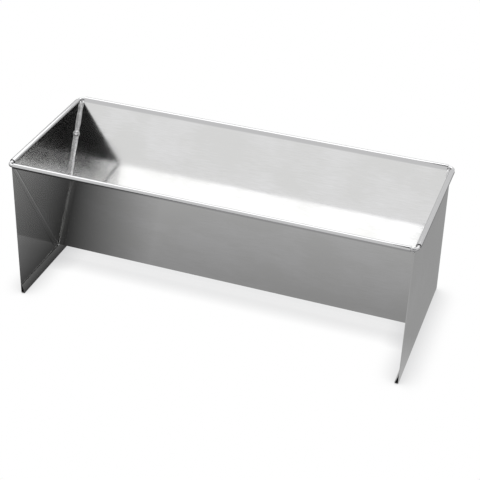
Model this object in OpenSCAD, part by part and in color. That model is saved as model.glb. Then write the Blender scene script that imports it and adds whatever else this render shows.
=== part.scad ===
// Triangular trough mould of bright sheet metal, standing on two end plates.
// A V-shaped sheet is held between the plates, and every top edge is rolled
// over one bent wire that runs right round the mouth.
//
// Frame: +X along the trough, +Y to the back, +Z up.
// Origin: middle of the footprint, on the surface that the plates stand on.

/* [Overall] */
// Length over the rolled rims
pan_length = 300; // [160:1:400]
// Width of the mouth over the rolled rims
mouth_width = 117; // [90:1:150]
// Height from the feet to the top of the rims
pan_height = 111; // [80:1:150]

/* [Sheet and wire] */
// Thickness of the sheet metal
sheet_t = 0.5; // [0.4:0.05:0.8]
// Diameter of the rim wire
wire_d = 2.6; // [2:0.1:3.2]
// Room between the wire and the sheet rolled round it
wire_gap = 0.2; // [0.1:0.05:0.3]
// Angle through which the sheet is rolled round the wire
roll_sweep = 300; // [220:5:300]
// Bend radius of the wire at the corners, on its centre line
wire_bend_r = 3.2; // [2.4:0.1:3.6]

/* [Rim corners] */
// From the crossing of two rims to where the long roll stops
long_roll_stop = 4; // [4:0.1:7]
// From the crossing of two rims to where the short roll stops
short_roll_stop = 5.4; // [4:0.1:8]
// From the wire's centre down to the plates' cut corners
corner_notch = 2.5; // [2.2:0.1:4]

/* [Trough] */
// Height of the fold's underside above the surface
fold_height = 7.4; // [5:0.1:20]
// Inside radius of the fold
fold_r = 1; // [0.6:0.1:2]
// Inside radius of the bend between a wall and its end flange
flange_bend_r = 0.8; // [0.5:0.1:1.2]
// Width of the end flange at its low end, measured from the wall's inner face
flange_low_w = 5; // [4:0.1:8]
// Width of the end flange at its high end
flange_high_w = 2.6; // [2.4:0.1:6]
// Length of wall above the fold that has no flange
flange_relief = 3; // [2.5:0.1:8]
// How far the flange's low end is cut on the slant
flange_slant = 2.4; // [0:0.1:6]
// From the top of a wall down to the flange's high end
flange_top_drop = 3; // [2.5:0.1:8]
// Width of the cut that parts the flange from the strip of wall beside the fold
relief_cut_w = 1; // [0.6:0.1:2]

/* [End plates] */
// Width of an end plate at its foot
foot_width = 121; // [100:1:160]
// Width of an end plate at its cut corners
plate_top_width = 111; // [84:1:140]
// Height of the folded hem along the foot
hem_height = 7; // [5:0.1:12]
// Depth of the hem, over the plate and the fold
hem_depth = 3; // [2.4:0.1:4]
// Outside radius of the hem's two lower corners
hem_corner_r = 1; // [0.9:0.05:1.1]
// Room between the plate and the hem's free edge
hem_gap = 0.15; // [0.1:0.05:0.3]

/* [Seams] */
// Size of the solder fillet in the corner between wall and plate
fillet_size = 2; // [1.6:0.1:3]
// From the top of a wall down to the end of the fillet
seam_top_drop = 1; // [0.5:0.1:4]
// Thickness that the fillet keeps at its two edges
fillet_edge = 0.15; // [0.1:0.05:0.3]
// Radius of the solder lump on the left seam
lump_r = 2.6; // [2.2:0.1:3.5]
// Place of the lump, as a share of the wall from the fold to the rim
lump_place = 0.76; // [0.3:0.01:0.9]
// Room between a flange and the plate that it lies on
lap_gap = 0.1; // [0.05:0.05:0.2]

/* [Hidden] */
$fn = 64;
sheet_colour = [0.80, 0.81, 0.82];
plate_colour = [0.74, 0.75, 0.77];
wire_colour = [0.66, 0.67, 0.69];
solder_colour = [0.86, 0.87, 0.88];

// Rolled rims
roll_r = wire_d / 2 + wire_gap + sheet_t;
roll_core_r = roll_r - sheet_t;
rim_x = pan_length / 2 - roll_r;
rim_y = mouth_width / 2 - roll_r;
rim_z = pan_height - roll_r;

// Planes of the end plates, on the positive side
plate_out_x = rim_x - roll_core_r;
plate_in_x = plate_out_x - sheet_t;
lap_x = plate_in_x - lap_gap;

// The fold and the lean of the walls
fold_out_r = fold_r + sheet_t;
fold_z = fold_height + fold_out_r;
wall_rise = rim_z - fold_z;
wall_reach = norm([rim_y, wall_rise]);
wall_lean = acos((fold_r + roll_r) / wall_reach) - atan2(wall_rise, rim_y);
wall_len = rim_y * sin(wall_lean) + wall_rise * cos(wall_lean);

// The end flanges, in the wall's own frame
bend_out_r = flange_bend_r + sheet_t;
bend_w = fold_r + bend_out_r;
bend_x = lap_x - bend_out_r;
flange_s0 = flange_relief;
flange_s1 = wall_len - flange_top_drop;
strip_s1 = flange_s0 - relief_cut_w;
sheet_end_x = rim_x - long_roll_stop;

// The hem's free leaf, which leans back to the plate
leaf_foot_w = hem_depth - hem_corner_r;
leaf_rise = hem_height - hem_corner_r;
leaf_run = 2 * sheet_t + hem_gap - leaf_foot_w;
leaf_reach = norm([leaf_run, leaf_rise]);
leaf_lean = atan2(leaf_rise, leaf_run) - acos(hem_corner_r / leaf_reach);
leaf_len = sqrt(leaf_reach ^ 2 - hem_corner_r ^ 2);

// Past the end of anything that is cut
over = 1;
// Height by which a bend stands proud of the flat sheet beside it, so that they fuse cleanly
tuck = 0.002;
// Overlap between two flat stretches of one sheet
lap = 0.1;

// How far a flat stretch runs on into a bend with this outside radius
function run_in(r_out) = sqrt(2 * tuck * (r_out - sheet_t / 2));

// Section of a bend in the sheet between two angles
module bend(r_out, from, to) {
    extra = asin(run_in(r_out) / (r_out - sheet_t / 2));
    start = from - extra;
    sweep = to - from + 2 * extra;
    steps = ceil(sweep / 45);
    intersection() {
        difference() {
            circle(r_out + tuck);
            circle(r_out - sheet_t + tuck);
        }
        polygon(concat([[0, 0]], [for (i = [0:steps])
            let (a = start + sweep * i / steps) 2 * r_out * [cos(a), sin(a)]]));
    }
}

// A section in Y and Z, drawn out along X to both sides of the middle
module along_x(half_len) {
    rotate([90, 0, 90]) linear_extrude(2 * half_len, center = true) children();
}

// Frame of the back wall: x outwards from the fold's centre, y up the wall, z along the pan
module wall_frame() {
    rotate([90, 0, 90]) translate([0, fold_z, 0]) rotate([0, 0, -wall_lean]) children();
}

// In the wall's frame, a section in x and z drawn out up the wall
module up_wall(from, to) {
    translate([0, to, 0]) rotate([90, 0, 0]) linear_extrude(to - from) children();
}

// The same thing on the front and on the back
module both_walls() {
    children();
    mirror([0, 1, 0]) children();
}

// The same thing at the left and at the right end
module both_ends() {
    children();
    mirror([1, 0, 0]) children();
}

// Section of the two walls between two heights up the wall
module wall_section(from, to) {
    for (side = [0, 1]) mirror([side, 0])
        translate([0, fold_z]) rotate(-wall_lean)
            translate([fold_r, from]) square([sheet_t, to - from]);
}

// Section of the fold between the walls
module fold_section() {
    translate([0, fold_z])
        bend(fold_out_r, 180 + wall_lean, 360 - wall_lean);
}

// Section of the two long rolls
module roll_section() {
    for (side = [0, 1]) mirror([side, 0])
        translate([rim_y, rim_z]) rotate(-wall_lean)
            bend(roll_r, 180 - roll_sweep, 180);
}

// Section of the bend between the back wall and its end flange, with a stretch of both
module flange_section() {
    on = run_in(bend_out_r);
    translate([bend_w, bend_x]) bend(bend_out_r, 90, 180);
    translate([fold_r, sheet_end_x - lap]) square([sheet_t, bend_x - sheet_end_x + lap + on]);
    translate([bend_w - on, lap_x - sheet_t]) square([on + lap, sheet_t]);
}

// One end flange with the bend that joins it to the back wall
module end_flange() {
    wall_frame() {
        up_wall(flange_s0, flange_s1) flange_section();
        translate([0, 0, lap_x - sheet_t]) linear_extrude(sheet_t)
            polygon([[bend_w, flange_s0], [bend_w + lap, flange_s0],
                     [fold_r + flange_low_w, flange_s0 + flange_slant],
                     [fold_r + flange_high_w, flange_s1], [bend_w, flange_s1]]);
    }
}

// V-shaped sheet with rolled long edges and flanged ends
module trough() {
    color(sheet_colour) {
        along_x(lap_x) {
            fold_section();
            wall_section(-run_in(fold_out_r), strip_s1);
        }
        along_x(sheet_end_x) {
            wall_section(strip_s1 - lap, wall_len + run_in(roll_r));
            roll_section();
        }
        both_walls() both_ends() end_flange();
    }
}

// Section of an end plate: x inwards from its outer face, y up
module plate_section() {
    on = run_in(hem_corner_r);
    // Web
    translate([0, hem_corner_r - on])
        square([sheet_t, rim_z - hem_corner_r + on + run_in(roll_r)]);
    // Rolled top
    translate([-roll_core_r, rim_z]) bend(roll_r, 0, roll_sweep);
    // Hem: outer corner, flat underside, inner corner and free leaf
    translate([0, tuck]) {
        translate([hem_corner_r, hem_corner_r]) bend(hem_corner_r, 180, 270);
        translate([hem_corner_r - on, 0])
            square([hem_depth - 2 * hem_corner_r + 2 * on, sheet_t]);
        translate([leaf_foot_w, hem_corner_r]) {
            bend(hem_corner_r, -90, leaf_lean);
            rotate(leaf_lean) translate([hem_corner_r - sheet_t, -on])
                square([sheet_t, leaf_len + on]);
        }
    }
}

// Outline of an end plate, seen along the pan
module plate_outline() {
    notch_z = rim_z - corner_notch;
    roll_half = rim_y - short_roll_stop;
    half = [[foot_width / 2, -over], [foot_width / 2, 0], [plate_top_width / 2, notch_z],
            [roll_half, notch_z], [roll_half, pan_height + over]];
    polygon(concat(half, [for (i = [len(half) - 1:-1:0]) [-half[i][0], half[i][1]]]));
}

// Left end plate with rolled top edge and folded foot
module end_plate() {
    intersection() {
        translate([-plate_out_x, 0, 0]) rotate([90, 0, 0])
            linear_extrude(foot_width + 2 * over, center = true) plate_section();
        along_x(pan_length) plate_outline();
    }
}

module left_end_plate() {
    color(plate_colour) end_plate();
}

module right_end_plate() {
    color(plate_colour) mirror([1, 0, 0]) end_plate();
}

// Closed frame of round wire inside the rolled rims
module rim_wire() {
    side_x = rim_x - wire_bend_r;
    side_y = rim_y - wire_bend_r;
    color(wire_colour) translate([0, 0, rim_z]) {
        for (side = [-1, 1]) {
            translate([0, side * rim_y, 0]) rotate([0, 90, 0])
                cylinder(h = 2 * side_x, d = wire_d, center = true);
            translate([side * rim_x, 0, 0]) rotate([90, 0, 0])
                cylinder(h = 2 * side_y, d = wire_d, center = true);
        }
        both_walls() both_ends() translate([side_x, side_y, 0])
            rotate_extrude(angle = 90) translate([wire_bend_r, 0]) circle(d = wire_d);
    }
}

// Section of the solder in the inside corner between the back wall and the right plate
module fillet_section() {
    difference() {
        translate([fold_r - fillet_size, plate_in_x - fillet_size]) square(fillet_size);
        translate([fold_r - fillet_size, plate_in_x - fillet_size])
            circle(fillet_size - fillet_edge);
    }
}

// Section of the solder drawn into the groove beside the flange's bend
module groove_section() {
    difference() {
        translate([fold_r - lap / 2, bend_x])
            square([bend_out_r + lap / 2, plate_in_x - bend_x]);
        translate([bend_w, bend_x]) circle(bend_out_r + lap_gap);
    }
}

// Solder along both walls at the right end, run together at the fold
module solder_seam() {
    both_walls() wall_frame() {
        up_wall(0, wall_len - seam_top_drop) fillet_section();
        up_wall(flange_s0, flange_s1) groove_section();
    }
    translate([plate_in_x - fillet_size, 0, fold_z]) rotate([0, 90, 0])
        cylinder(h = fillet_size, r = fold_r - lap_gap);
}

// Drop of solder that set on the seam of the back wall
module solder_lump() {
    wall_frame() intersection() {
        translate([fold_r, lump_place * wall_len, plate_in_x]) sphere(lump_r);
        translate([fold_r - 2 * lump_r, 0, plate_in_x - 2 * lump_r])
            cube([2 * lump_r, wall_len, 2 * lump_r]);
    }
}

module left_solder_seam() {
    color(solder_colour) mirror([1, 0, 0]) {
        solder_seam();
        solder_lump();
    }
}

module right_solder_seam() {
    color(solder_colour) solder_seam();
}

trough();
left_end_plate();
right_end_plate();
rim_wire();
left_solder_seam();
right_solder_seam();
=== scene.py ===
"""Triangular loaf mould of bright tinned sheet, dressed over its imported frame.

The mould is a folded trough between two end plates. Its four top edges are rolled round one bent
wire, and both inside corners are soldered. Lengths are in metres, in the frame of the solids:
+X along the trough, +Y to the back, +Z up, with the origin on the table under the middle.
"""

import logging
import math
from dataclasses import dataclass
from enum import Enum
from typing import Callable, Sequence

import bmesh
import bpy
from mathutils import Matrix, Vector, noise

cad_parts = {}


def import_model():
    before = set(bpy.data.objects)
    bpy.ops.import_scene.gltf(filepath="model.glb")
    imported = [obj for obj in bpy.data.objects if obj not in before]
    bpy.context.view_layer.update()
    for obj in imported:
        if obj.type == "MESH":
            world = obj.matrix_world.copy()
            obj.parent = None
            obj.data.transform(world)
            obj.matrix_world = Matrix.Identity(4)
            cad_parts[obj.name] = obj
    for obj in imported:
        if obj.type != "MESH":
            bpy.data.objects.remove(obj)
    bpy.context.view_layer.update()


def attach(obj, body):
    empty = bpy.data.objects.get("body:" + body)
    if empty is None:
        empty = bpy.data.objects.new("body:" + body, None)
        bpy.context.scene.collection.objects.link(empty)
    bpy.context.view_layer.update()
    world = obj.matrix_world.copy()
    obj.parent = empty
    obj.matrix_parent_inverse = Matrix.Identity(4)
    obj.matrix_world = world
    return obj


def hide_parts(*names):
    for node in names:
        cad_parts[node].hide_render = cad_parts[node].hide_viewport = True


LOG = logging.getLogger("mould")
MM = 0.001
CUT_EDGE_EASE = 0.06 * MM
CUT_EDGE_ANGLE = 1.2
BACKDROP_RAYS = ("Is Glossy Ray", "Is Transmission Ray")
MIX_FIRST, MIX_SECOND, MIX_RESULT = 6, 7, 2


class End(Enum):
    """The two ends of the trough, by the sign of X."""

    LEFT = -1
    RIGHT = 1


# --------------------------------------------------------------------------- sizes


@dataclass(frozen=True)
class Gauge:
    """Sizes that the mould's pieces share, in metres.

    They are the sizes of the solids, so that each piece lies where its solid is.
    """

    sheet: float = 0.5 * MM
    wire_r: float = 1.3 * MM
    roll_r: float = 2.0 * MM
    roll_sweep: float = math.radians(300)
    rim_x: float = 148.0 * MM
    rim_y: float = 56.5 * MM
    rim_z: float = 109.0 * MM
    fold_r: float = 1.0 * MM
    fold_z: float = 8.9 * MM
    plate_in_x: float = 146.0 * MM

    @property
    def wall_reach(self) -> float:
        """Distance from the fold's axis to a long rim's axis."""
        return math.hypot(self.rim_y, self.rim_z - self.fold_z)

    @property
    def wall_lean(self) -> float:
        """Angle of a wall from upright."""
        rise = math.atan2(self.rim_z - self.fold_z, self.rim_y)
        return math.acos((self.fold_r + self.roll_r) / self.wall_reach) - rise

    @property
    def wall_len(self) -> float:
        """Flat length of a wall between the fold and the roll."""
        lean = self.wall_lean
        return self.rim_y * math.sin(lean) + (self.rim_z - self.fold_z) * math.cos(lean)

    @property
    def wall_frame(self) -> Matrix:
        """Frame of the back wall: x along the trough, y up the wall, z into the trough."""
        turn = Matrix.Rotation(math.radians(90) - self.wall_lean, 4, "X")
        return Matrix.Translation((0, 0, self.fold_z)) @ turn


# --------------------------------------------------------------------------- workbench


class Bench:
    """Edit-mode work on one piece at a time, with everything selected by place."""

    def __init__(self, name: str) -> None:
        """Start with nothing selected.

        Args:
            name: name that the finished piece gets.
        """
        self.name = name
        if bpy.context.object and bpy.context.object.mode != "OBJECT":
            bpy.ops.object.mode_set(mode="OBJECT")
        bpy.ops.object.select_all(action="DESELECT")

    @property
    def piece(self) -> bpy.types.Object:
        """The object on the bench."""
        return bpy.context.object

    def plane(self, size_x: float, size_y: float, at: Sequence[float]) -> None:
        """Add a flat sheet in X and Y and stay in edit mode.

        Args:
            size_x: length along X.
            size_y: length along Y.
            at: its middle.
        """
        bpy.ops.mesh.primitive_plane_add(size=1.0, location=(0, 0, 0))
        self.piece.name = self.name
        bpy.ops.object.mode_set(mode="EDIT")
        bpy.ops.mesh.select_all(action="SELECT")
        bpy.ops.transform.resize(value=(size_x, size_y, 1.0))
        bpy.ops.transform.translate(value=tuple(at))

    def pick(self, test: Callable[[Vector], bool], kind: str = "EDGE") -> int:
        """Select the edges, faces or points whose every corner passes a test.

        Args:
            test: test on a point's place.
            kind: EDGE, FACE or VERT.

        Returns:
            How many were selected.
        """
        bpy.ops.mesh.select_mode(type=kind)
        mesh = bmesh.from_edit_mesh(self.piece.data)
        for part in (mesh.faces, mesh.edges, mesh.verts):
            for item in part:
                item.select = False
        chosen = {"EDGE": mesh.edges, "FACE": mesh.faces, "VERT": mesh.verts}[kind]
        count = 0
        for item in chosen:
            corners = [item] if kind == "VERT" else item.verts
            if all(test(v.co) for v in corners):
                item.select_set(True)
                count += 1
        mesh.select_flush_mode()
        bmesh.update_edit_mesh(self.piece.data)
        return count

    def slice(self, co: Sequence[float], no: Sequence[float], trim: bool = False) -> None:
        """Cut the whole sheet along a plane.

        Args:
            co: a point on the plane.
            no: the plane's normal.
            trim: take off what lies on the normal's side.
        """
        bpy.ops.mesh.select_all(action="SELECT")
        bpy.ops.mesh.bisect(
            plane_co=tuple(co), plane_no=tuple(no), clear_outer=trim, threshold=1e-7
        )

    def pull(self, by: Sequence[float]) -> None:
        """Extrude the selected edges by a vector."""
        bpy.ops.mesh.extrude_region_move(TRANSFORM_OT_translate={"value": tuple(by)})

    def roll(self, turn: float, about: Sequence[float], axis: Sequence[float], steps: int) -> None:
        """Spin the selected edges round an axis.

        Args:
            turn: angle, by the right-hand rule; the operator turns the other way.
            about: a point on the axis.
            axis: the axis.
            steps: number of strips.
        """
        bpy.ops.mesh.spin(
            steps=steps, angle=-turn, center=tuple(about), axis=tuple(axis), dupli=False
        )

    def tidy(self) -> None:
        """Merge what meets and turn the faces one way."""
        bpy.ops.mesh.select_all(action="SELECT")
        bpy.ops.mesh.remove_doubles(threshold=2e-6)
        bpy.ops.mesh.normals_make_consistent(inside=False)

    def done(self) -> bpy.types.Object:
        """Leave edit mode and return the piece."""
        bpy.ops.object.mode_set(mode="OBJECT")
        return self.piece

    def place(self, frame: Matrix) -> None:
        """Move the piece's mesh into a frame, from object mode."""
        self.piece.matrix_world = frame @ self.piece.matrix_world
        bpy.ops.object.transform_apply(location=True, rotation=True, scale=True)

    def finish(self, kind: str, **settings: object) -> None:
        """Add a modifier with its settings and apply it.

        Args:
            kind: the modifier's type.
            settings: its properties.
        """
        mod = self.piece.modifiers.new(kind.title(), kind)
        for key, value in settings.items():
            setattr(mod, key, value)
        bpy.ops.object.modifier_apply(modifier=mod.name)

    def thicken(self, sheet: float) -> None:
        """Give a middle surface its thickness, ease its cut edges and shade it.

        Args:
            sheet: the sheet's thickness.
        """
        self.finish("SOLIDIFY", thickness=sheet, offset=0.0, use_even_offset=True)
        self.finish(
            "BEVEL",
            width=CUT_EDGE_EASE,
            segments=1,
            limit_method="ANGLE",
            angle_limit=CUT_EDGE_ANGLE,
        )
        self.soften()

    def soften(self, angle: float = 30.0) -> None:
        """Shade smooth, with flats kept flat beside their bends."""
        bpy.ops.object.shade_smooth_by_angle(angle=math.radians(angle))
        self.finish("WEIGHTED_NORMAL", mode="FACE_AREA", weight=100, keep_sharp=True)


def near(value: float, target: float, room: float = 1e-5) -> bool:
    """Whether two lengths are the same within a small room."""
    return abs(value - target) < room


# --------------------------------------------------------------------------- pieces


@dataclass
class Trough:
    """Folded V sheet with rolled long edges and flanged ends."""

    gauge: Gauge
    sheet_end_x: float = 144.0 * MM
    strip_top: float = 2.0 * MM
    lap_x: float = 145.9 * MM
    bend_x: float = 144.6 * MM
    bend_w: float = 2.3 * MM
    flange_foot: float = 3.0 * MM
    flange_drop: float = 3.0 * MM
    flange_low_w: float = 6.0 * MM
    flange_high_w: float = 3.6 * MM
    flange_slant: float = 2.4 * MM
    fold_steps: int = 14
    roll_steps: int = 44
    bend_steps: int = 8

    def build(self) -> bpy.types.Object:
        """Model one quarter of the trough and mirror it both ways.

        Returns:
            The closed sheet, in place.
        """
        g = self.gauge
        bench = Bench("trough_sheet")
        mid = g.fold_r + g.sheet / 2
        top = g.wall_len
        flange_top = top - self.flange_drop
        bench.plane(self.sheet_end_x, top, (self.sheet_end_x / 2, top / 2, -mid))
        for level in (self.strip_top, self.flange_foot, flange_top):
            bench.slice((0, level, 0), (0, 1, 0))
        self._flange(bench, flange_top)
        bench.pick(lambda p: near(p.x, self.sheet_end_x) and p.y < self.strip_top + 1e-6)
        bench.pull((self.lap_x - self.sheet_end_x, 0, 0))
        bench.pick(lambda p: near(p.y, top) and near(p.z, -mid))
        bench.roll(-g.roll_sweep, (0, top, -g.fold_r - g.roll_r), (1, 0, 0), self.roll_steps)
        bench.pick(lambda p: near(p.y, 0) and near(p.z, -mid))
        half = math.radians(90) - g.wall_lean
        bench.roll(-half, (0, 0, 0), (1, 0, 0), self.fold_steps)
        bench.tidy()
        bench.done()
        bench.place(g.wall_frame)
        bench.finish(
            "MIRROR", use_axis=(True, True, False), use_mirror_merge=True, merge_threshold=2e-6
        )
        bench.thicken(g.sheet)
        return bench.piece

    def _flange(self, bench: Bench, flange_top: float) -> None:
        """Bend the end flange outwards from the wall's end and slant its low end.

        Args:
            bench: bench with the flat wall on it.
            flange_top: height up the wall where the flange stops.
        """
        g = self.gauge
        mid = g.fold_r + g.sheet / 2
        lap_mid = self.lap_x - g.sheet / 2
        bench.pick(
            lambda p: near(p.x, self.sheet_end_x)
            and self.flange_foot - 1e-6 < p.y < flange_top + 1e-6
        )
        bench.pull((self.bend_x - self.sheet_end_x, 0, 0))
        bench.roll(
            math.radians(90), (self.bend_x, 0, -self.bend_w), (0, 1, 0), self.bend_steps
        )
        bench.pick(lambda p: near(p.x, lap_mid, 2e-5) and near(p.z, -self.bend_w, 2e-5))
        bench.pull((0, 0, self.bend_w - self.flange_high_w))
        edge = -self.flange_high_w
        bench.pick(lambda p: near(p.z, edge) and near(p.y, self.flange_foot), "VERT")
        bpy.ops.transform.translate(
            value=(0, self.flange_slant, self.flange_high_w - self.flange_low_w)
        )


@dataclass
class EndPlate:
    """Trapezoid end plate with a rolled top edge and an open hem along its foot."""

    gauge: Gauge
    end: End
    foot_half: float = 60.5 * MM
    top_half: float = 55.5 * MM
    roll_half: float = 51.1 * MM
    notch_z: float = 106.5 * MM
    hem_r: float = 1.0 * MM
    hem_land: float = 1.0 * MM
    leaf_lean: float = math.radians(17.56)
    leaf_len: float = 5.977 * MM
    roll_steps: int = 44

    def build(self) -> bpy.types.Object:
        """Model the left plate in place, and turn it over for the right end.

        Returns:
            The closed plate, in place.
        """
        g = self.gauge
        bench = Bench(f"{self.end.name.lower()}_plate_sheet")
        web = g.plate_in_x + g.sheet / 2
        wide = self.foot_half + 2 * MM
        height = self.notch_z - self.hem_r
        bench.plane(height, 2 * wide, (0, 0, 0))
        bench.done()
        bench.place(
            Matrix.Translation((-web, 0, self.hem_r + height / 2))
            @ Matrix.Rotation(math.radians(90), 4, "Y")
        )
        bpy.ops.object.mode_set(mode="EDIT")
        for y in (-self.roll_half, self.roll_half):
            bench.slice((0, y, 0), (0, 1, 0))
        self._hem(bench, web)
        self._roll(bench, web)
        rise = self.notch_z
        for side in (-1, 1):
            bench.slice(
                (0, side * self.foot_half, 0),
                (0, side * rise, self.foot_half - self.top_half),
                trim=True,
            )
        bench.tidy()
        bench.done()
        if self.end is End.RIGHT:
            bench.place(Matrix.Scale(-1, 4, (1, 0, 0)))
            bpy.ops.object.mode_set(mode="EDIT")
            bench.tidy()
            bench.done()
        bench.thicken(g.sheet)
        return bench.piece

    def _hem(self, bench: Bench, web: float) -> None:
        """Fold the foot inwards and lean its free leaf back to the plate.

        Args:
            bench: bench with the flat plate on it.
            web: distance of the plate's middle surface from the trough's middle.
        """
        g = self.gauge
        r = self.hem_r
        mid = r - g.sheet / 2
        out_x = -g.plate_in_x - g.sheet
        bench.pick(lambda p: near(p.z, r) and near(p.x, -web))
        bench.roll(math.radians(-90), (out_x + r, 0, r), (0, 1, 0), 8)
        bench.pick(lambda p: near(p.z, r - mid) and near(p.x, out_x + r))
        bench.pull((self.hem_land, 0, 0))
        turn = math.radians(90) + self.leaf_lean
        at = (out_x + r + self.hem_land, 0, r)
        bench.roll(-turn, at, (0, 1, 0), 12)
        tip = Vector(at) + mid * Vector((math.cos(self.leaf_lean), 0, math.sin(self.leaf_lean)))
        bench.pick(lambda p: near(p.x, tip.x) and near(p.z, tip.z))
        lean = self.leaf_lean
        bench.pull((-self.leaf_len * math.sin(lean), 0, self.leaf_len * math.cos(lean)))

    def _roll(self, bench: Bench, web: float) -> None:
        """Draw the plate up between its cut corners and roll its edge outwards.

        Args:
            bench: bench with the plate on it.
            web: distance of the plate's middle surface from the trough's middle.
        """
        g = self.gauge
        bench.pick(
            lambda p: near(p.z, self.notch_z) and abs(p.y) < self.roll_half + 1e-6 and p.x < 0
        )
        bench.pull((0, 0, g.rim_z - self.notch_z))
        bench.pick(lambda p: near(p.z, g.rim_z) and near(p.x, -web))
        bench.roll(-g.roll_sweep, (-g.rim_x, 0, g.rim_z), (0, 1, 0), self.roll_steps)


@dataclass
class RimWire:
    """Closed frame of round wire inside the four rolled edges."""

    gauge: Gauge
    bend_r: float = 3.2 * MM
    sides: int = 28
    bend_steps: int = 14

    def build(self) -> bpy.types.Object:
        """Draw a ring of points round the frame, side by side and bend by bend.

        Returns:
            The closed wire, in place.
        """
        g = self.gauge
        side_x, side_y = g.rim_x - self.bend_r, g.rim_y - self.bend_r
        bench = Bench("rim_wire_rod")
        bpy.ops.mesh.primitive_circle_add(
            vertices=self.sides,
            radius=g.wire_r,
            location=(side_x, g.rim_y, g.rim_z),
            rotation=(0, math.radians(90), 0),
        )
        bpy.context.object.name = bench.name
        bpy.ops.object.transform_apply(location=True, rotation=True, scale=True)
        bpy.ops.object.mode_set(mode="EDIT")
        bpy.ops.mesh.select_all(action="SELECT")
        runs = [(-1, 1), (-1, -1), (1, -1), (1, 1)]
        ways = [(-2 * side_x, 0), (0, -2 * side_y), (2 * side_x, 0), (0, 2 * side_y)]
        for (sx, sy), (dx, dy) in zip(runs, ways):
            bench.pull((dx, dy, 0))
            bench.roll(
                math.radians(90),
                (sx * side_x, sy * side_y, g.rim_z),
                (0, 0, 1),
                self.bend_steps,
            )
        bench.tidy()
        bench.done()
        bench.soften(60)
        return bench.piece


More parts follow.
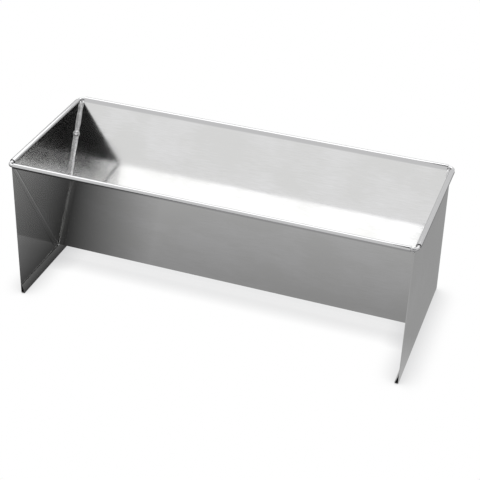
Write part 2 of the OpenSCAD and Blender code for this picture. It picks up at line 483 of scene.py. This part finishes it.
@dataclass
class SolderSeam:
    """Solder drawn along both inside corners of one end plate."""

    gauge: Gauge
    end: End
    size: float = 2.0 * MM
    edge: float = 0.15 * MM
    top_drop: float = 1.0 * MM
    lump_r: float = 2.6 * MM
    lump_place: float = 0.76
    rings: int = 150
    unevenness: float = 0.16 * MM
    ripple_len: float = 2.2 * MM
    ripple_share: float = 0.55
    ripple_stretch: float = 0.55
    swell_len: float = 14 * MM
    swell_share: float = 0.7
    thin_end: float = 0.45
    thin_len: float = 4 * MM
    waver_depth: float = 0.6 * MM
    edge_hold: float = 0.8
    lump_ripple: float = 0.07
    lump_ripple_len: float = 1.6 * MM

    def build(self) -> bpy.types.Object:
        """Model the bead on the back wall, mirror it and join the pool at the fold.

        Returns:
            The seam, in place.
        """
        g = self.gauge
        bench = Bench(f"{self.end.name.lower()}_solder_bead")
        length = g.wall_len - self.top_drop
        middle = (g.plate_in_x - self.size / 2, self.size / 2 - g.fold_r, 0)
        bench.plane(self.size, self.size, middle)
        bpy.ops.mesh.delete(type="ONLY_FACE")
        self._hollow(bench)
        bench.done()
        bench.place(Matrix.Rotation(math.radians(90), 4, "X"))
        bpy.ops.object.mode_set(mode="EDIT")
        bpy.ops.mesh.select_mode(type="EDGE")
        bpy.ops.mesh.select_all(action="SELECT")
        for _ in range(self.rings):
            bench.pull((0, length / self.rings, 0))
        for end_y in (0, length):
            bench.pick(lambda p: near(p.y, end_y, 2e-6))
            bpy.ops.mesh.edge_face_add()
        self._waver(bench, length)
        bench.tidy()
        bench.done()
        bench.place(g.wall_frame)
        bench.finish("MIRROR", use_axis=(False, True, False), use_mirror_merge=False)
        if self.end is End.LEFT:
            bench.place(Matrix.Scale(-1, 4, (1, 0, 0)))
        bpy.ops.object.mode_set(mode="EDIT")
        bench.tidy()
        bench.done()
        bead = bench.piece
        parts = [self._pool()]
        if self.end is End.LEFT:
            parts.append(self._lump())
        bpy.ops.object.select_all(action="DESELECT")
        for part in parts:
            part.select_set(True)
        bead.select_set(True)
        bpy.context.view_layer.objects.active = bead
        bpy.ops.object.join()
        bpy.ops.object.shade_smooth_by_angle(angle=math.radians(50))
        return bead

    def _hollow(self, bench: Bench) -> None:
        """Turn the square section into a hollow fillet, in the flat.

        Args:
            bench: bench with the square on it.
        """
        g = self.gauge
        far_x = g.plate_in_x - self.size
        far_y = -g.fold_r + self.size
        centre = Vector((far_x, far_y, 0))
        cuts = 7
        bench.pick(lambda p: near(p.x, far_x) or near(p.y, far_y), "EDGE")
        bpy.ops.mesh.subdivide(number_cuts=cuts)
        mesh = bmesh.from_edit_mesh(bench.piece.data)
        r = self.size - self.edge
        for v in mesh.verts:
            along = (v.co - centre).length / self.size * (cuts + 1) / cuts
            on_x, on_y = near(v.co.x, far_x), near(v.co.y, far_y)
            if along > 1.01 or not (on_x or on_y):
                continue
            turn = math.radians(45) * (-1 - along if on_x else along - 1)
            v.co = centre + r * Vector((math.cos(turn), math.sin(turn), 0))
        bmesh.update_edit_mesh(bench.piece.data)

    def _waver(self, bench: Bench, length: float) -> None:
        """Let the bead's free surface wander as hand-run solder does.

        Args:
            bench: bench with the straight bead on it.
            length: length of the bead.
        """
        g = self.gauge
        mesh = bmesh.from_edit_mesh(bench.piece.data)
        seed = Vector((3.1, 0, 7.7)) * (1 if self.end is End.LEFT else 2.3)
        corner = Vector((g.plate_in_x, 0, -g.fold_r))
        for v in mesh.verts:
            out = Vector((v.co.x - corner.x, 0, v.co.z - corner.z))
            if out.length < 0.1 * MM:
                continue
            spot = Vector((v.co.x, v.co.y * self.ripple_stretch, v.co.z))
            ripple = self.ripple_share * noise.noise(seed + spot / self.ripple_len)
            along = Vector((0, v.co.y, 0))
            swell = self.swell_share * noise.noise(seed + along / self.swell_len)
            k = 1 + (ripple + swell) * self.unevenness / self.waver_depth
            taper = (1 - self.thin_end) * (length - v.co.y) / self.thin_len
            k *= min(1.0, self.thin_end + taper)
            grow = out * (k - 1)
            if near(v.co.x, g.plate_in_x) or near(v.co.z, -g.fold_r):
                grow = grow * self.edge_hold
            v.co += grow
        bmesh.update_edit_mesh(bench.piece.data)

    def _pool(self) -> bpy.types.Object:
        """Return the small pool of solder where both beads meet at the fold."""
        g = self.gauge
        sign = self.end.value
        bench = Bench("pool")
        bpy.ops.mesh.primitive_uv_sphere_add(
            segments=24, ring_count=12, radius=1.0, location=(0, 0, 0)
        )
        bpy.context.object.name = bench.name
        bpy.context.object.scale = (self.size * 0.9, g.fold_r * 0.9, g.fold_r * 0.9)
        bpy.context.object.location = (sign * (g.plate_in_x - 0.1 * MM), 0, g.fold_z)
        bpy.ops.object.transform_apply(location=True, rotation=True, scale=True)
        bpy.ops.object.mode_set(mode="EDIT")
        bench.slice((sign * g.plate_in_x, 0, 0), (sign, 0, 0), trim=True)
        bench.pick(lambda p: near(p.x, sign * g.plate_in_x, 2e-6))
        bpy.ops.mesh.edge_face_add()
        bench.tidy()
        return bench.done()

    def _lump(self) -> bpy.types.Object:
        """Return the drop of solder that set on the back wall's seam."""
        g = self.gauge
        bench = Bench("lump")
        bpy.ops.mesh.primitive_uv_sphere_add(
            segments=32, ring_count=16, radius=self.lump_r, location=(0, 0, 0)
        )
        bpy.context.object.name = bench.name
        bpy.ops.object.mode_set(mode="EDIT")
        mesh = bmesh.from_edit_mesh(bench.piece.data)
        for v in mesh.verts:
            v.co *= 1 + self.lump_ripple * noise.noise(v.co / self.lump_ripple_len)
        bmesh.update_edit_mesh(bench.piece.data)
        place = (g.plate_in_x, self.lump_place * g.wall_len, -g.fold_r)
        bpy.ops.mesh.select_all(action="SELECT")
        bpy.ops.transform.translate(value=place)
        for co, no in ((place, (1, 0, 0)), (place, (0, 0, -1))):
            bench.slice(co, no, trim=True)
            bench.pick(
                lambda p: near((p - Vector(co)).dot(Vector(no)), 0, 1e-6), "EDGE"
            )
            bpy.ops.mesh.edge_face_add()
        bench.tidy()
        bench.done()
        bench.place(Matrix.Scale(-1, 4, (1, 0, 0)) @ g.wall_frame)
        bpy.ops.object.mode_set(mode="EDIT")
        bench.tidy()
        return bench.done()


# --------------------------------------------------------------------------- finishes


def value_group(name: str, inputs: dict[str, float]) -> bpy.types.NodeTree:
    """Return a new shader node group with number inputs and Mask and Height outputs.

    Args:
        name: the group's name.
        inputs: its inputs and their plain values.

    Returns:
        The group, with its input and output nodes placed.
    """
    tree = bpy.data.node_groups.new(name, "ShaderNodeTree")
    for label, value in inputs.items():
        socket = tree.interface.new_socket(
            name=label, in_out="INPUT", socket_type="NodeSocketFloat"
        )
        socket.default_value = value
    for label in ("Mask", "Height"):
        tree.interface.new_socket(name=label, in_out="OUTPUT", socket_type="NodeSocketFloat")
    tree.nodes.new("NodeGroupInput")
    tree.nodes.new("NodeGroupOutput")
    return tree


def noise_into(tree: bpy.types.NodeTree, stretch: Sequence[float], detail: float) -> None:
    """Fill a group with a stretched noise, its contrast and its height.

    Args:
        tree: group with Scale, Low, High and Depth inputs.
        stretch: how the noise is drawn out along X, Y and Z.
        detail: the noise's detail.
    """
    given = tree.nodes["Group Input"]
    place = tree.nodes.new("ShaderNodeTexCoord")
    mapping = tree.nodes.new("ShaderNodeMapping")
    mapping.inputs["Scale"].default_value = tuple(stretch)
    cloud = tree.nodes.new("ShaderNodeTexNoise")
    cloud.inputs["Detail"].default_value = detail
    span = tree.nodes.new("ShaderNodeMapRange")
    span.interpolation_type = "SMOOTHSTEP"
    rise = tree.nodes.new("ShaderNodeMath")
    rise.operation = "MULTIPLY"
    result = tree.nodes["Group Output"]
    tree.links.new(place.outputs["Object"], mapping.inputs["Vector"])
    tree.links.new(mapping.outputs[0], cloud.inputs["Vector"])
    tree.links.new(given.outputs["Scale"], cloud.inputs["Scale"])
    tree.links.new(cloud.outputs["Fac"], span.inputs["Value"])
    tree.links.new(given.outputs["Low"], span.inputs["From Min"])
    tree.links.new(given.outputs["High"], span.inputs["From Max"])
    tree.links.new(span.outputs[0], rise.inputs[0])
    tree.links.new(given.outputs["Depth"], rise.inputs[1])
    tree.links.new(span.outputs[0], result.inputs["Mask"])
    tree.links.new(rise.outputs[0], result.inputs["Height"])


class Effects:
    """Effects that the finishes share, each one node group."""

    def __init__(self) -> None:
        """Build the groups."""
        plain = {"Scale": 60.0, "Low": 0.3, "High": 0.7, "Depth": 1e-6}
        self.grain = value_group("rolled_grain", plain)
        noise_into(self.grain, stretch=(0.35, 1.0, 6.0), detail=6.0)
        self.cloud = value_group("tin_clouding", plain)
        noise_into(self.cloud, stretch=(1.0, 1.0, 1.0), detail=3.0)
        self.scratch = value_group("handling_scratches", plain)
        noise_into(self.scratch, stretch=(0.12, 2.6, 3.4), detail=2.0)


@dataclass(frozen=True)
class MetalFinish:
    """A bright metal with clouding, grain and scratches of its own strength, and painted shade
    over the rolled rims.
    """

    name: str
    clean: tuple[float, float, float]
    dull: tuple[float, float, float]
    smooth: float
    rough: float
    cloud_scale: float
    grain_scale: float
    grain_depth: float
    scratch_depth: float
    dent_depth: float
    scratch_scale: float = 420.0
    scratch_span: tuple[float, float] = (0.66, 0.74)
    noise_span: tuple[float, float] = (0.3, 0.7)
    grain_share: float = 0.6
    scratch_share: float = 0.35
    # painted shade: the darker colour given to everything above rim_from, which dims the lamp's
    # reflection on the rolled rims
    rim_painted_shade: tuple[float, float, float] = (0.52, 0.52, 0.525)
    rim_from: float = 107.6 * MM
    rim_fade: float = 0.8 * MM

    def material(self, effects: Effects) -> bpy.types.Material:
        """Return the finish as a material.

        Args:
            effects: the shared node groups.

        Returns:
            A Principled metal whose colour, roughness and normal vary over the surface.
        """
        material = bpy.data.materials.new(self.name)
        material.use_nodes = True
        tree = material.node_tree
        shader = tree.nodes["Principled BSDF"]
        shader.inputs["Metallic"].default_value = 1.0
        cloud, grain, scratch = (
            self._effect(tree, group, scale, span, depth)
            for group, scale, span, depth in (
                (effects.cloud, self.cloud_scale, self.noise_span, self.dent_depth),
                (effects.grain, self.grain_scale, self.noise_span, self.grain_depth),
                (effects.scratch, self.scratch_scale, self.scratch_span, self.scratch_depth),
            )
        )
        masks = [node.outputs["Mask"] for node in (cloud, grain, scratch)]
        worn = self._sum(tree, masks[0], masks[1], self.grain_share)
        worn = self._sum(tree, worn, masks[2], self.scratch_share)
        tint = tree.nodes.new("ShaderNodeMix")
        tint.data_type = "RGBA"
        tint.inputs[MIX_FIRST].default_value = (*self.clean, 1)
        tint.inputs[MIX_SECOND].default_value = (*self.dull, 1)
        tree.links.new(worn, tint.inputs[0])
        place = tree.nodes.new("ShaderNodeTexCoord")
        axes = tree.nodes.new("ShaderNodeSeparateXYZ")
        tree.links.new(place.outputs["Object"], axes.inputs[0])
        # painted shade on the rolled rims: above rim_from the base colour fades to the darker grey
        rim = tree.nodes.new("ShaderNodeMapRange")
        rim.inputs["From Min"].default_value = self.rim_from
        rim.inputs["From Max"].default_value = self.rim_from + self.rim_fade
        tree.links.new(axes.outputs["Z"], rim.inputs["Value"])
        rim_painted_shade = tree.nodes.new("ShaderNodeMix")
        rim_painted_shade.data_type = "RGBA"
        rim_painted_shade.inputs[MIX_SECOND].default_value = (*self.rim_painted_shade, 1)
        tree.links.new(rim.outputs[0], rim_painted_shade.inputs[0])
        tree.links.new(tint.outputs[MIX_RESULT], rim_painted_shade.inputs[MIX_FIRST])
        tree.links.new(rim_painted_shade.outputs[MIX_RESULT], shader.inputs["Base Color"])
        span = tree.nodes.new("ShaderNodeMapRange")
        span.inputs["To Min"].default_value = self.smooth
        span.inputs["To Max"].default_value = self.rough
        tree.links.new(worn, span.inputs["Value"])
        tree.links.new(span.outputs[0], shader.inputs["Roughness"])
        relief = self._sum(tree, grain.outputs["Height"], scratch.outputs["Height"], -1.0)
        relief = self._sum(tree, relief, cloud.outputs["Height"], 1.0)
        bump = tree.nodes.new("ShaderNodeBump")
        bump.inputs["Strength"].default_value = 1.0
        bump.inputs["Distance"].default_value = 1.0
        tree.links.new(relief, bump.inputs["Height"])
        tree.links.new(bump.outputs[0], shader.inputs["Normal"])
        return material

    @staticmethod
    def _effect(
        tree: bpy.types.NodeTree,
        group: bpy.types.NodeTree,
        scale: float,
        span: tuple[float, float],
        depth: float,
    ) -> bpy.types.Node:
        """Place a shared effect with this finish's values.

        Args:
            tree: the material's node tree.
            group: the effect.
            scale: the noise's scale.
            span: noise values where the mask starts and is full.
            depth: height of the relief, in metres.

        Returns:
            The placed group.
        """
        node = tree.nodes.new("ShaderNodeGroup")
        node.node_tree = group
        for label, value in zip(("Scale", "Low", "High", "Depth"), (scale, *span, depth)):
            node.inputs[label].default_value = value
        return node

    @staticmethod
    def _sum(
        tree: bpy.types.NodeTree,
        first: bpy.types.NodeSocket,
        second: bpy.types.NodeSocket,
        weight: float,
    ) -> bpy.types.NodeSocket:
        """Add a share of one value to another.

        Args:
            tree: the material's node tree.
            first: the value that is kept whole.
            second: the value that is added.
            weight: the share of it.

        Returns:
            The sum's socket.
        """
        add = tree.nodes.new("ShaderNodeMath")
        add.operation = "MULTIPLY_ADD"
        add.inputs[1].default_value = weight
        tree.links.new(second, add.inputs[0])
        tree.links.new(first, add.inputs[2])
        return add.outputs[0]


TINNED_SHEET = MetalFinish(
    name="bright_sheet",
    clean=(0.72, 0.72, 0.725),
    dull=(0.66, 0.66, 0.655),
    smooth=0.05,
    rough=0.115,
    cloud_scale=22.0,
    grain_scale=330.0,
    grain_depth=5e-7,
    scratch_depth=8e-7,
    dent_depth=2e-5,
)
DRAWN_WIRE = MetalFinish(
    name="drawn_wire",
    clean=(0.66, 0.66, 0.67),
    dull=(0.5, 0.5, 0.5),
    smooth=0.16,
    rough=0.3,
    cloud_scale=260.0,
    grain_scale=900.0,
    grain_depth=2e-6,
    scratch_depth=2e-6,
    dent_depth=5e-6,
)
SOFT_SOLDER = MetalFinish(
    name="soft_solder",
    clean=(0.82, 0.82, 0.83),
    dull=(0.56, 0.56, 0.56),
    smooth=0.16,
    rough=0.36,
    cloud_scale=420.0,
    grain_scale=1500.0,
    grain_depth=6e-6,
    scratch_depth=1e-6,
    dent_depth=5e-5,
)


# --------------------------------------------------------------------------- studio


@dataclass(frozen=True)
class Card:
    """A flat card that stands in the studio, seen only in the metal."""

    name: str
    width: float
    height: float
    place: tuple[float, float, float]
    facing: tuple[float, float, float]

    def stand(self, paint: bpy.types.Material) -> None:
        """Args:
            paint: its material.
        """
        bpy.ops.object.select_all(action="DESELECT")
        bpy.ops.mesh.primitive_plane_add(size=1.0, location=self.place)
        card = bpy.context.object
        card.name = self.name
        card.scale = (self.width, self.height, 1.0)
        card.rotation_euler = Vector(self.facing).to_track_quat("Z", "Y").to_euler()
        card.visible_camera = False
        card.visible_diffuse = False
        card.visible_shadow = False
        card.data.materials.append(paint)


@dataclass(frozen=True)
class Fade:
    """A change of painted shade along one axis of the glowing table sheet."""

    axis: str
    start: float
    stop: float
    low: float
    high: float

    def socket(self, tree: bpy.types.NodeTree, axes: bpy.types.Node) -> bpy.types.NodeSocket:
        """Return the brightness along the axis.

        Args:
            tree: node tree of the table sheet.
            axes: node that gives the place's X, Y and Z.
        """
        span = tree.nodes.new("ShaderNodeMapRange")
        values = (self.start, self.stop, self.low, self.high)
        for label, value in zip(("From Min", "From Max", "To Min", "To Max"), values):
            span.inputs[label].default_value = value
        tree.links.new(axes.outputs[self.axis], span.inputs["Value"])
        return span.outputs[0]


CARD_AT_FRONT = Card("card_front", 0.52, 0.46, (0.40, -1.00, 0.50), (-0.42, 0.83, -0.36))
CARD_OVER_RIGHT = Card("card_over", 0.50, 0.42, (0.315, -0.152, 0.55), (0, 0, -1))
# the table sheet glows though it is no lamp: a grey stand-in for the floor, seen only in the
# metal, with painted shade from its two fades
TABLE_SHADE_SHEET = Card("table_shade_card", 1.7, 1.7, (0, 0, 0.25 * MM), (0, 0, 1))
# painted shade: the sheet's glow drops from 0.50 at the trough's front to 0.36 from its middle
# backwards
TABLE_SHADE_ACROSS = Fade("Y", -0.055, -0.005, 0.50, 0.36)
# painted shade: the sheet is darkest (0.12) at and beyond the left end plate and full from x =
# -0.070
TABLE_SHADE_BY_LEFT_PLATE = Fade("X", -0.143, -0.070, 0.12, 1.0)


@dataclass
class Studio:
    """Pale floor, white surround, one soft overhead lamp, cards and camera."""

    azimuth: float = math.radians(19.82)
    elevation: float = math.radians(33.50)
    roll: float = math.radians(0.96)
    distance: float = 906.82 * MM
    aside: float = 7.32 * MM
    above: float = 38.65 * MM
    lens: float = 89.115
    softbox_size: tuple[float, float] = (1.1, 0.6)
    softbox_place: tuple[float, float, float] = (-0.15, 0.30, 0.56)
    softbox_power: float = 2.7
    card_shade: float = 0.02
    fill: float = 0.6
    floor_size: float = 8.0
    floor_white: float = 0.85
    touch_reach: float = 24 * MM
    touch_samples: int = 12
    touch_shade: tuple[float, float, float] = (0.42, 0.42, 0.43)
    touch_end: float = 0.92

    def camera(self) -> None:
        """Set the camera at the viewing angle."""
        az, el = self.azimuth, self.elevation
        back = Vector((math.sin(az) * math.cos(el), -math.cos(az) * math.cos(el), math.sin(el)))
        right = Vector((math.cos(az), math.sin(az), 0))
        up = back.cross(right)
        c, s = math.cos(self.roll), math.sin(self.roll)
        right, up = c * right + s * up, c * up - s * right
        place = back * self.distance + right * self.aside + up * self.above
        data = bpy.data.cameras.new("camera")
        data.sensor_width = 36.0
        data.lens = self.lens
        data.clip_start = 0.01
        camera = bpy.data.objects.new("camera", data)
        bpy.context.scene.collection.objects.link(camera)
        camera.matrix_world = Matrix(
            (
                (right.x, up.x, back.x, place.x),
                (right.y, up.y, back.y, place.y),
                (right.z, up.z, back.z, place.z),
                (0, 0, 0, 1),
            )
        )
        bpy.context.scene.camera = camera

    @staticmethod
    def _backdrop_rays(tree: bpy.types.NodeTree) -> bpy.types.NodeSocket:
        """Return a socket that is 1 for what is seen directly, in a mirror or through glass.

        Args:
            tree: node tree of the floor or the world.
        """
        path = tree.nodes.new("ShaderNodeLightPath")
        total = path.outputs["Is Camera Ray"]
        for name in BACKDROP_RAYS:
            add = tree.nodes.new("ShaderNodeMath")
            add.operation = "ADD"
            add.use_clamp = True
            tree.links.new(total, add.inputs[0])
            tree.links.new(path.outputs[name], add.inputs[1])
            total = add.outputs[0]
        return total

    def world(self) -> None:
        """White surround for the camera and for reflections, soft light for the rest."""
        world = bpy.data.worlds.new("surround")
        bpy.context.scene.world = world
        world.use_nodes = True
        tree = world.node_tree
        seen = tree.nodes["Background"]
        seen.inputs["Color"].default_value = (1, 1, 1, 1)
        seen.inputs["Strength"].default_value = 1.0
        fill = tree.nodes.new("ShaderNodeBackground")
        fill.inputs["Color"].default_value = (1, 1, 1, 1)
        fill.inputs["Strength"].default_value = self.fill
        mix = tree.nodes.new("ShaderNodeMixShader")
        tree.links.new(self._backdrop_rays(tree), mix.inputs[0])
        tree.links.new(fill.outputs[0], mix.inputs[1])
        tree.links.new(seen.outputs[0], mix.inputs[2])
        tree.links.new(mix.outputs[0], tree.nodes["World Output"].inputs["Surface"])

    def floor(self) -> None:
        """Lay the pale floor, white where it is seen, with a soft shadow round the feet."""
        bpy.ops.object.select_all(action="DESELECT")
        bpy.ops.mesh.primitive_plane_add(size=self.floor_size, location=(0, 0, 0))
        floor = bpy.context.object
        floor.name = "floor"
        material = bpy.data.materials.new("pale_floor")
        material.use_nodes = True
        tree = material.node_tree
        shader = tree.nodes["Principled BSDF"]
        shader.inputs["Base Color"].default_value = (*[self.floor_white] * 3, 1)
        shader.inputs["Roughness"].default_value = 0.9
        touch = tree.nodes.new("ShaderNodeAmbientOcclusion")
        touch.samples = self.touch_samples
        touch.inputs["Distance"].default_value = self.touch_reach
        ramp = tree.nodes.new("ShaderNodeValToRGB")
        ramp.color_ramp.elements[0].color = (*self.touch_shade, 1)
        ramp.color_ramp.elements[1].color = (1, 1, 1, 1)
        ramp.color_ramp.elements[1].position = self.touch_end
        glow = tree.nodes.new("ShaderNodeEmission")
        mix = tree.nodes.new("ShaderNodeMixShader")
        tree.links.new(touch.outputs["AO"], ramp.inputs[0])
        tree.links.new(ramp.outputs[0], glow.inputs["Color"])
        tree.links.new(self._backdrop_rays(tree), mix.inputs[0])
        tree.links.new(shader.outputs[0], mix.inputs[1])
        tree.links.new(glow.outputs[0], mix.inputs[2])
        tree.links.new(mix.outputs[0], tree.nodes["Material Output"].inputs["Surface"])
        floor.data.materials.append(material)

    def lamps(self) -> None:
        """Hang one wide softbox over the back of the mould."""
        data = bpy.data.lights.new("softbox", "AREA")
        data.shape = "RECTANGLE"
        data.size, data.size_y = self.softbox_size
        data.energy = self.softbox_power
        lamp = bpy.data.objects.new("softbox", data)
        bpy.context.scene.collection.objects.link(lamp)
        lamp.location = self.softbox_place
        lamp.visible_camera = False

    def _dark_paint(self) -> bpy.types.Material:
        """Return the dark cards' matt paint."""
        paint = bpy.data.materials.new("dark_card")
        paint.use_nodes = True
        shader = paint.node_tree.nodes["Principled BSDF"]
        shader.inputs["Base Color"].default_value = (*[self.card_shade] * 3, 1)
        shader.inputs["Roughness"].default_value = 1.0
        shader.inputs["Specular IOR Level"].default_value = 0.0
        return paint

    @staticmethod
    def _table_paint() -> bpy.types.Material:
        """Return the table sheet's glow: a grey with painted shade, darker from the trough's front
        backwards and at the left end plate.
        """
        paint = bpy.data.materials.new("table_sheet_painted_shade")
        paint.use_nodes = True
        tree = paint.node_tree
        tree.nodes.remove(tree.nodes["Principled BSDF"])
        place = tree.nodes.new("ShaderNodeNewGeometry")
        axes = tree.nodes.new("ShaderNodeSeparateXYZ")
        both = tree.nodes.new("ShaderNodeMath")
        both.operation = "MULTIPLY"
        glow = tree.nodes.new("ShaderNodeEmission")
        tree.links.new(place.outputs["Position"], axes.inputs[0])
        # the two fades multiply into the glow's strength, which paints the shade on the sheet
        for slot, fade in enumerate((TABLE_SHADE_ACROSS, TABLE_SHADE_BY_LEFT_PLATE)):
            tree.links.new(fade.socket(tree, axes), both.inputs[slot])
        tree.links.new(both.outputs[0], glow.inputs["Strength"])
        tree.links.new(glow.outputs[0], tree.nodes["Material Output"].inputs["Surface"])
        return paint

    def cards(self) -> None:
        """Stand the dark cards and lay the glowing grey table sheet that the metal mirrors, with
        painted shade on it.
        """
        dark = self._dark_paint()
        CARD_AT_FRONT.stand(dark)
        CARD_OVER_RIGHT.stand(dark)
        TABLE_SHADE_SHEET.stand(self._table_paint())


# --------------------------------------------------------------------------- making


def main() -> None:
    """Build the mould's pieces over the frame and set up the studio."""
    logging.basicConfig(level=logging.INFO, format="%(name)s: %(message)s")
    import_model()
    gauge = Gauge()
    effects = Effects()
    sheet, wire, solder = (
        finish.material(effects) for finish in (TINNED_SHEET, DRAWN_WIRE, SOFT_SOLDER)
    )
    made = [
        (Trough(gauge).build(), "trough", "bright_sheet", sheet),
        (EndPlate(gauge, End.LEFT).build(), "left_end_plate", "bright_sheet", sheet),
        (EndPlate(gauge, End.RIGHT).build(), "right_end_plate", "bright_sheet", sheet),
        (RimWire(gauge).build(), "rim_wire", "rim_wire", wire),
        (SolderSeam(gauge, End.LEFT).build(), "left_solder_seam", "solder", solder),
        (SolderSeam(gauge, End.RIGHT).build(), "right_solder_seam", "solder", solder),
    ]
    for piece, node, slot, material in made:
        piece.data.materials.clear()
        piece.data.materials.append(material)
        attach(piece, "root")
        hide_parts(node)
        LOG.info("%s: %d faces", piece.name, len(piece.data.polygons))
    studio = Studio()
    studio.floor()
    studio.world()
    studio.lamps()
    studio.cards()
    studio.camera()
    bpy.context.scene.view_settings.view_transform = "Standard"


if __name__ == "__main__":
    main()
